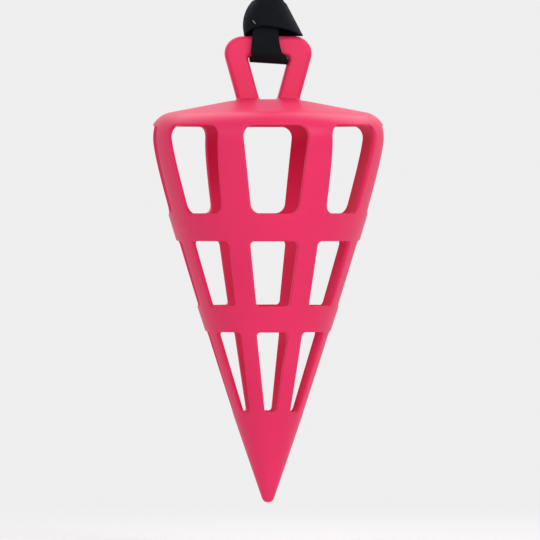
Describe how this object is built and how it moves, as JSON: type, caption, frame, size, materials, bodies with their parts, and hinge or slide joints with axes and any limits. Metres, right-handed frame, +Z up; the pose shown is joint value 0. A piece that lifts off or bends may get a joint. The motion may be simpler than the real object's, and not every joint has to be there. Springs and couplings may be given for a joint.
{
  "type": "hanging hay feeder",
  "caption": "Pointed hollow plastic hay feeder with rows of windows and a handle loop, hung from black webbing hitched round the handle and a swivel snap hook.",
  "frame": {"origin": "highest point inside the snap hook's bow, where it bears on what it hangs from", "axes": "+Z up along the hanging line, +X to the viewer's right across the handle, +Y away from the viewer"},
  "size_m": [0.2982, 0.2982, 0.8321],
  "materials": {
    "shell_plastic": "hot pink moulded plastic, satin gloss",
    "webbing": "black woven webbing",
    "plated_zinc": "satin nickel plate",
    "spring_steel": "bright spring wire"
  },
  "bodies": {
    "hook": {"snap_body": "plated_zinc", "gate_pin": "plated_zinc", "gate_spring": "spring_steel"},
    "gate": {"snap_gate": "plated_zinc"},
    "swivel": {"swivel_eye": "plated_zinc"},
    "feeder": {"hanging_strap": "webbing", "feeder_shell": "shell_plastic"}
  },
  "joints": [
    {"name": "gate_hinge", "type": "hinge", "parent": "hook", "child": "gate", "pos_m": [0.01502, 0, -0.0449], "axis": [0, -1, 0], "range_deg": [0, 33], "stiffness_Nm_per_rad": 0.05, "springref_deg": -17.19, "deforming": ["gate_spring"]},
    {"name": "swivel_spin", "type": "hinge", "parent": "hook", "child": "swivel", "pos_m": [0, 0, 0], "axis": [0, 0, 1], "continuous": true},
    {"name": "strap_swing", "type": "hinge", "parent": "swivel", "child": "feeder", "pos_m": [0, 0, -0.0799], "axis": [1, 0, 0], "range_deg": [-75, 75]}
  ]
}
